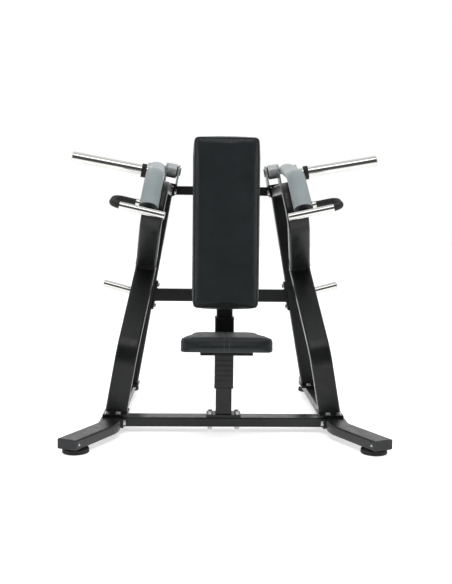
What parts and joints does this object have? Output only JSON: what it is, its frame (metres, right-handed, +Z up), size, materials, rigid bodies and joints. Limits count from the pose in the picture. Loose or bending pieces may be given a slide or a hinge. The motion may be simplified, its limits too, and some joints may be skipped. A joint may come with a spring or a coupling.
{
  "type": "shoulder press machine",
  "caption": "Plate-loaded shoulder press: leaning tube frame, two independent press arms with chrome weight horns and loop handles, back pad and height-adjustable seat.",
  "frame": {"origin": "on the floor under the middle of the machine's box", "axes": "+X to the machine's right seen from the front, +Y towards the back, +Z up; the user sits facing -Y"},
  "size_m": [1.3778, 1.3908, 1.2905],
  "materials": {
    "frame_paint": "black powder coat, satin, faint orange peel",
    "arm_paint": "silver grey powder coat, satin",
    "axle_steel": "silver grey powder coat on a turned drum",
    "chrome": "polished chrome plate with fine use marks",
    "rubber": "matt black rubber",
    "black_plastic": "matt black moulded plastic",
    "bolt_steel": "zinc plated",
    "bronze": "oil filled bronze",
    "upholstery": "charcoal vinyl, fine grain",
    "plywood": "raw plywood"
  },
  "bodies": {
    "frame": {"back_board": "plywood", "back_pad": "upholstery", "base_crossbeam": "frame_paint", "base_rail_left": "frame_paint", "base_rail_right": "frame_paint", "crossbeam_end_plates": "frame_paint", "foot_plates": "frame_paint", "frame_bolts": "bolt_steel", "frame_end_caps": "black_plastic", "front_foot_left": "rubber", "front_foot_right": "rubber", "front_leg_left": "frame_paint", "front_leg_right": "frame_paint", "lower_brace": "frame_paint", "lower_crossbeam": "frame_paint", "pad_bolts": "bolt_steel", "pad_brackets": "frame_paint", "pivot_bearings": "bronze", "pivot_bracket_left": "frame_paint", "pivot_bracket_right": "frame_paint", "pivot_cheeks_left": "arm_paint", "pivot_cheeks_right": "arm_paint", "rear_foot_left": "rubber", "rear_foot_right": "rubber", "rear_upright_left": "frame_paint", "rear_upright_right": "frame_paint", "seat_post": "frame_paint", "stop_bumpers": "rubber", "storage_horn_left": "chrome", "storage_horn_right": "chrome", "top_tube_left": "frame_paint", "top_tube_right": "frame_paint", "upper_arch_left": "frame_paint", "upper_arch_right": "frame_paint", "upper_brace": "frame_paint", "upper_crossbeam": "frame_paint"},
    "left_arm": {"arm_beam_left": "arm_paint", "arm_axle_left": "axle_steel", "weight_horn_left": "chrome", "horn_collar_left": "rubber", "handle_mount_left": "arm_paint", "handle_bar_left": "chrome", "handle_grip_left": "rubber", "arm_plugs_left": "black_plastic"},
    "right_arm": {"arm_beam_right": "arm_paint", "arm_axle_right": "axle_steel", "weight_horn_right": "chrome", "horn_collar_right": "rubber", "handle_mount_right": "arm_paint", "handle_bar_right": "chrome", "handle_grip_right": "rubber", "arm_plugs_right": "black_plastic"},
    "seat_carriage": {"seat_sleeve": "frame_paint", "height_rack": "frame_paint", "sleeve_bushes": "black_plastic", "seat_bracket": "frame_paint", "seat_board": "plywood", "seat_pad": "upholstery"},
    "seat_clamp": {"clamp_screw": "bolt_steel", "clamp_knob": "black_plastic"}
  },
  "joints": [
    {"name": "left_arm_press", "type": "hinge", "parent": "frame", "child": "left_arm", "pos_m": [-0.28245, 0.35, 1.18669], "axis": [-0.9848, 0, 0.1736], "range_deg": [0, 45]},
    {"name": "right_arm_press", "type": "hinge", "parent": "frame", "child": "right_arm", "pos_m": [0.28245, 0.35, 1.18669], "axis": [-0.9848, 0, -0.1736], "range_deg": [0, 45]},
    {"name": "seat_height", "type": "slide", "parent": "frame", "child": "seat_carriage", "axis": [0, 0, 1], "range_m": [-0.1, 0.06]},
    {"name": "clamp_turn", "type": "hinge", "parent": "seat_carriage", "child": "seat_clamp", "pos_m": [0.05, -0.258, 0.408], "axis": [1, 0, 0], "range_deg": [0, 270]}
  ]
}
